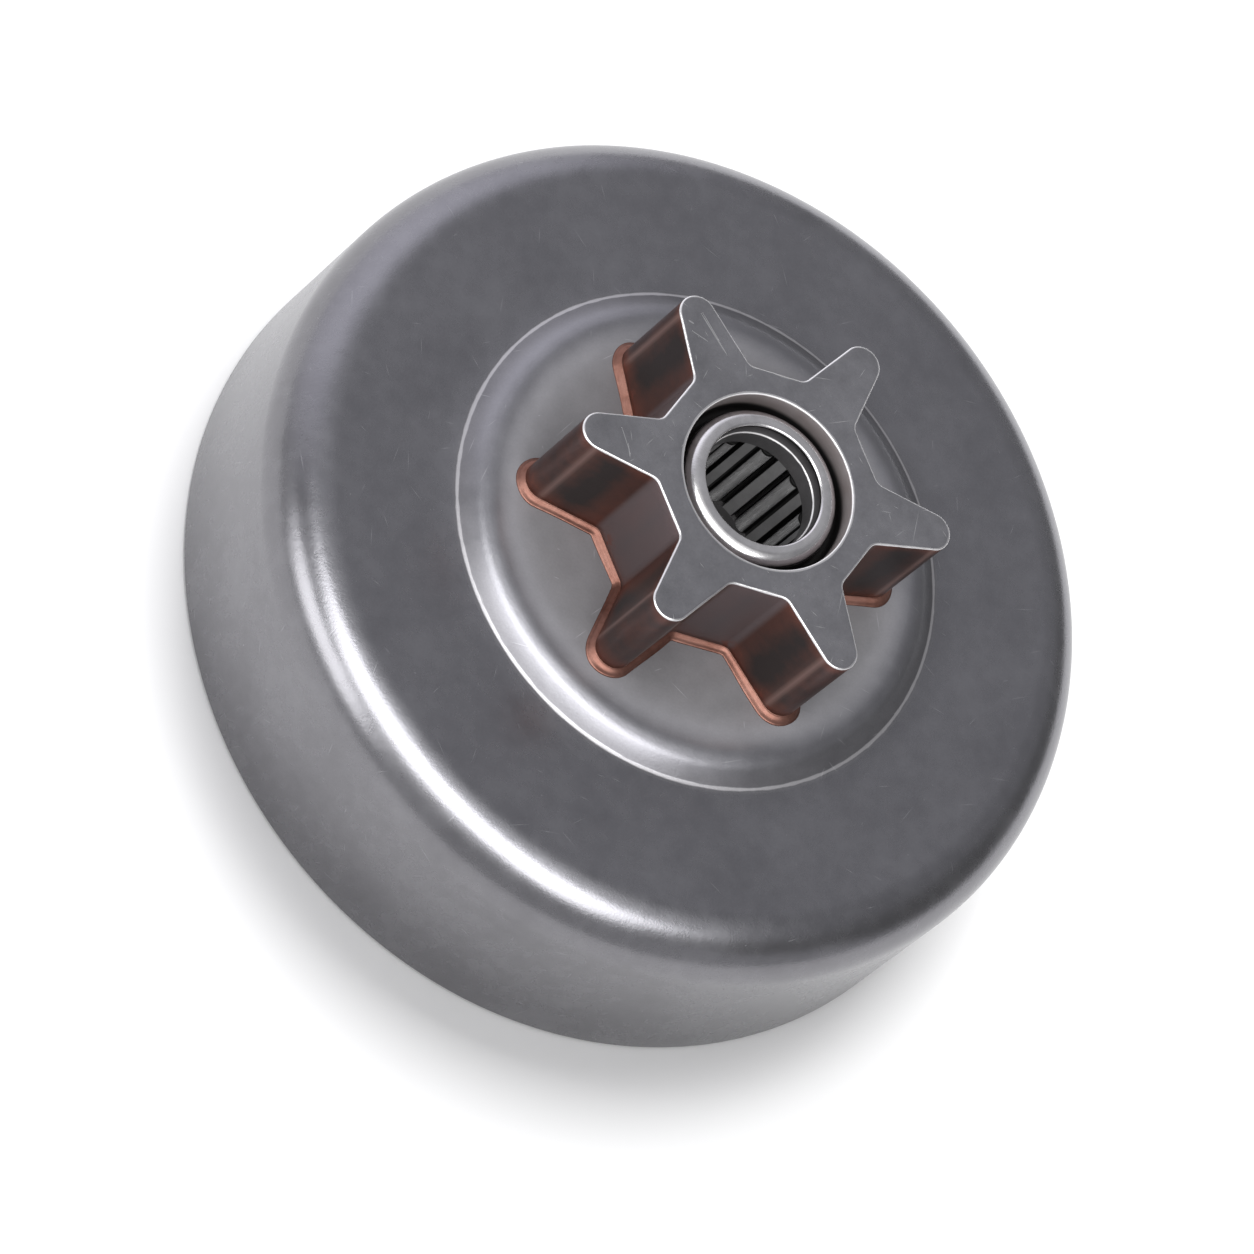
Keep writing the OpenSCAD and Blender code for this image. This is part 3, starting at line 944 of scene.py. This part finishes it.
# Painted shade: near black inside the lip and on the skirt down in the counterbore.
painted_shade_in_cup = calc(tree, "MAXIMUM", cut_edge, skirt)
feed(tree, inputs["Base Color"], blend(tree, painted_shade_in_cup, color, (0.035, 0.030, 0.027)))
feed(tree, inputs["Roughness"], total(tree, 0.20, (0.03, clouds), (0.25, painted_shade_in_cup)))
raise_surface(tree, inputs, total(tree, 0.0, (0.0006, grain), (0.0008, patches)))
print("cup steel:", len(tree.nodes), "nodes")

# %% [markdown]
# ## Cage and needles
# Cage and needles share one measure: how far a point lies from the middle of the nearest
# needle, round the axis. Painted shade lies black in the slots between bar and needle and where
# the needles run in under the ring. The cage's bars are a lighter grey than its rings, and a
# painted highlight runs along the inner edge of the upper ring. The needles are ground along
# their length.

# %% Measure between the needles
pocket_low_z, pocket_top_z = (box_mm("needle_01")[end][2] for end in (0, 1))
slot_edge = 1.075
cage_bore_r = 5.2
# Painted shade: black for the slots and for the needles' hidden ends.
painted_shade_black = (0.004, 0.004, 0.004)


def beside_needle(tree, spot):
    """Distance round the axis from the middle of the nearest needle: |angle left over| * radius.

    The needles stand at whole pitches from +X. Half a pitch is added before the angle is cut
    to one pitch and taken off after it, so what is left runs half a pitch to either side.
    """
    x, y, _ = parts_of(tree, spot)
    pitch = 2 * math.pi / needle_count
    around = calc(tree, "ADD", calc(tree, "ARCTAN2", y, x), 4 * math.pi + pitch / 2)
    turn_off = calc(tree, "SUBTRACT", calc(tree, "MODULO", around, pitch), pitch / 2)
    return times(tree, calc(tree, "ABSOLUTE", turn_off), off_axis(tree, spot))


print(f"pockets from {pocket_low_z:.2f} to {pocket_top_z:.2f}")

# %% Cage steel
cage_steel, tree, inputs = start_metal("cage_steel", 0.55)
spot = place_mm(tree)
spot_z = parts_of(tree, spot)[2]
clouds = use(tree, mottle, spot, "Value", size=2.0, detail=3.0)
grain = use(tree, mottle, spot, "Value", size=0.2, detail=2.0)
below_top = calc(tree, "SUBTRACT", spot_z, cage_top_z)
# Painted highlight: a bright line round the upper ring's inner edge.
painted_rim_highlight = times(tree, use(tree, bare_highlit_edge, spot, "Mask", distance=below_top, width=0.16),
               step_between(tree, off_axis(tree, spot), cage_bore_r + 0.12, cage_bore_r + 0.06))
on_bar = times(tree, step_between(tree, spot_z, pocket_top_z + 0.05, pocket_top_z - 0.05),
               step_between(tree, spot_z, pocket_low_z - 0.05, pocket_low_z + 0.05))
# Painted shade in the slots beside each needle.
shade_in_slot = times(tree, on_bar,
                step_between(tree, beside_needle(tree, spot), slot_edge + 0.10, slot_edge + 0.02))
tone = total(tree, 0.5, (0.35, clouds), (0.15, grain))
color = blend(tree, on_bar, blend(tree, tone, (0.10, 0.096, 0.098), (0.16, 0.155, 0.16)),
              blend(tree, tone, (0.27, 0.267, 0.27), (0.39, 0.386, 0.39)))
color = blend(tree, shade_in_slot, color, painted_shade_black)
feed(tree, inputs["Base Color"], blend(tree, painted_rim_highlight, color, (0.85, 0.84, 0.84)))
feed(tree, inputs["Roughness"], total(tree, 0.36, (0.04, clouds), (-0.08, painted_rim_highlight)))
raise_surface(tree, inputs, total(tree, 0.0, (0.0010, grain)))
print("cage steel:", len(tree.nodes), "nodes")

# %% Needle steel
needle_steel, tree, inputs = start_metal("needle_steel", 0.65)
spot = place_mm(tree)
stretched = put(tree, "ShaderNodeMapping")
feed(tree, stretched.inputs["Vector"], spot)
stretched.inputs["Scale"].default_value = (1.0, 1.0, 0.08)
ground = use(tree, mottle, stretched.outputs[0], "Value", size=0.25, detail=2.0)
clouds = use(tree, mottle, spot, "Value", size=1.5, detail=2.0)
color = blend(tree, total(tree, 0.5, (0.35, ground), (0.25, clouds)),
              (0.38, 0.377, 0.38), (0.70, 0.696, 0.70))
# Painted shade on the needles' sides by the slots and on their ends under the ring.
in_shade = calc(tree, "MAXIMUM", step_between(tree, beside_needle(tree, spot), 0.50, 0.60),
                step_between(tree, parts_of(tree, spot)[2], pocket_top_z - 0.40, pocket_top_z - 0.20))
feed(tree, inputs["Base Color"], blend(tree, in_shade, color, painted_shade_black))
feed(tree, inputs["Roughness"], total(tree, 0.26, (0.04, ground), (0.4, in_shade)))
raise_surface(tree, inputs, total(tree, 0.0, (0.0006, ground)))
print("needle steel:", len(tree.nodes), "nodes")

# %% Dress the pieces
finish = {"drum_steel": drum_steel, "sprocket_steel": sprocket_steel, "braze_copper": braze_copper,
          "cup_steel": cup_steel, "cage_steel": cage_steel, "needle_steel": needle_steel}


def dress(piece, slot):
    """Give a piece the finish of a material slot of the record."""
    piece.data.materials.clear()
    piece.data.materials.append(finish[slot])


new_pieces = [(drum, "drum_steel"), (sprocket, "sprocket_steel"), (braze, "braze_copper"),
              (cup, "cup_steel")] + [(roller, "needle_steel") for roller in rollers]
kept_solids = [("braze_ring", "braze_copper"), ("bearing_cage", "cage_steel")]
for piece, slot in new_pieces:
    dress(piece, slot)
for node, slot in kept_solids:
    dress(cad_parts[node], slot)
print("dressed:", len(new_pieces), "new pieces and", len(kept_solids), "solids")

# %% [markdown]
# ## Floor and light
# The part lies on white paper. The paper shines a little by itself for the camera and in
# reflections, so it shows as plain white, and its own lamp from behind the part lays a soft
# shadow on it. That lamp reaches only the paper. Two softboxes near the camera light only
# the part, and draw the bands on the drum's corner.


# %% Floor
def plane(name, half, z):
    """Square in the plane of height z, reaching half each way from the axis."""
    mesh = bpy.data.meshes.new(name)
    corners = [(-half, -half, z), (half, -half, z), (half, half, z), (-half, half, z)]
    mesh.from_pydata(corners, [], [(0, 1, 2, 3)])
    piece = bpy.data.objects.new(name, mesh)
    bpy.context.scene.collection.objects.link(piece)
    return piece


paper_white = 0.85
paper_glow = 0.10
floor = plane("floor", 0.5, -0.02 * MM)
floor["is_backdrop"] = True
paper = bpy.data.materials.new("white_paper")
paper.use_nodes = True
tree = paper.node_tree
tree.nodes.clear()
output = put(tree, "ShaderNodeOutputMaterial")
diffuse = put(tree, "ShaderNodeBsdfDiffuse")
diffuse.inputs["Color"].default_value = (paper_white, paper_white, paper_white, 1)
ray = put(tree, "ShaderNodeLightPath").outputs
seen = calc(tree, "MAXIMUM", calc(tree, "MAXIMUM", ray["Is Camera Ray"], ray["Is Glossy Ray"]),
            ray["Is Transmission Ray"])
glow = put(tree, "ShaderNodeEmission")
feed(tree, glow.inputs["Strength"], times(tree, seen, paper_glow))
both = put(tree, "ShaderNodeAddShader")
tree.links.new(diffuse.outputs[0], both.inputs[0])
tree.links.new(glow.outputs[0], both.inputs[1])
tree.links.new(both.outputs[0], output.inputs["Surface"])
floor.data.materials.append(paper)
print("floor of", paper.name)


# %% Softboxes
def beside_camera(across, above):
    """Unit vector across and above the camera's own direction, in degrees, camera held level."""
    a, e = math.radians(across), math.radians(above)
    flat = math.sin(a) * level_right + math.cos(a) * toward_camera
    return math.cos(e) * flat + math.sin(e) * level_up


def softbox(name, direction, up, distance, width, height, radiance):
    """Area light in a direction from the part, facing it; its height runs along up.

    A lamp of power P and area A shines with a radiance of P / (pi * A).
    """
    right = up.cross(direction).normalized()
    light = bpy.data.lights.new(name, "AREA")
    light.shape = "RECTANGLE"
    light.size, light.size_y = width, height
    light.energy = radiance * math.pi * width * height
    lamp = bpy.data.objects.new(name, light)
    bpy.context.scene.collection.objects.link(lamp)
    lamp.matrix_world = looking_along(camera_aim + distance * direction,
                                      right, direction.cross(right), direction)
    return lamp


part_lamps = [
    softbox("front_softbox", beside_camera(5, 10.5), level_up,
            distance=0.9, width=1.20, height=0.50, radiance=4.3),
    softbox("side_softbox", beside_camera(-35, -22), level_up + 0.25 * level_right,
            distance=0.9, width=0.60, height=0.38, radiance=3.6)]
paper_lamp = softbox("paper_lamp", compass(math.radians(78), math.radians(68)), Vector((0, 0, 1)),
                     distance=1.2, width=0.56, height=0.56, radiance=12.0)
lit_part = bpy.data.collections.new("lit_part")
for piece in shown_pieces():
    lit_part.objects.link(piece)
for lamp in part_lamps:
    lamp.light_linking.receiver_collection = lit_part
lit_paper = bpy.data.collections.new("lit_paper")
lit_paper.objects.link(floor)
paper_lamp.light_linking.receiver_collection = lit_paper
print("lamps:", [lamp.name for lamp in part_lamps + [paper_lamp]])

# %% [markdown]
# The room gives the metal its greys. It is darker overhead, where the web looks, and lighter
# towards the horizon. On the left a pale wall makes the corner glow, and a pale one behind the
# camera fills the rounded edges. Dark flags, three to the right and one low on the left, draw
# the bands that set the corner off from the wall. The room is laid out by direction: each
# patch is a cone with a soft rim.

# %% The room
world = bpy.data.worlds.new("studio")
bpy.context.scene.world = world
world.use_nodes = True
tree = world.node_tree
background = tree.nodes["Background"]
view = put(tree, "ShaderNodeTexCoord").outputs["Generated"]
height = parts_of(tree, view)[2]
room = blend(tree, step_between(tree, height, 0.25, 0.75), (0.58, 0.58, 0.60), (0.23, 0.23, 0.24))


def patch(room, across, above, inner, outer, color):
    """Room with a round patch about a direction: full up to inner degrees, gone at outer."""
    toward = put(tree, "ShaderNodeVectorMath", operation="DOT_PRODUCT")
    feed(tree, toward.inputs[0], view)
    toward.inputs[1].default_value = beside_camera(across, above)
    inside = step_between(tree, toward.outputs["Value"],
                          math.cos(math.radians(outer)), math.cos(math.radians(inner)))
    return blend(tree, inside, room, color)


ceiling_grey, far_grey, camera_grey = (0.46, 0.46, 0.48), (0.32, 0.32, 0.33), (0.95, 0.95, 0.95)
pale_wall = (1.1, 1.09, 1.18)
room = patch(room, -90, 60, 20, 55, ceiling_grey)
room = patch(room, 180, 65, 20, 55, far_grey)
room = patch(room, -88, 32, 8, 46, pale_wall)
room = patch(room, 8, 14, 22, 44, camera_grey)
dark_flags = [(-104, -27, 6, 28, 0.16), (64, 18, 2, 18, 0.24),
              (90, 37, 8, 26, 0.18), (125, 44, 10, 34, 0.20)]
for across, above, inner, outer, grey in dark_flags:
    room = patch(room, across, above, inner, outer, (grey, grey, grey))
seen_directly = put(tree, "ShaderNodeLightPath").outputs["Is Camera Ray"]
feed(tree, background.inputs["Color"], blend(tree, seen_directly, room, (1.0, 1.0, 1.0)))
print(world.name, "has", len(tree.nodes), "nodes")
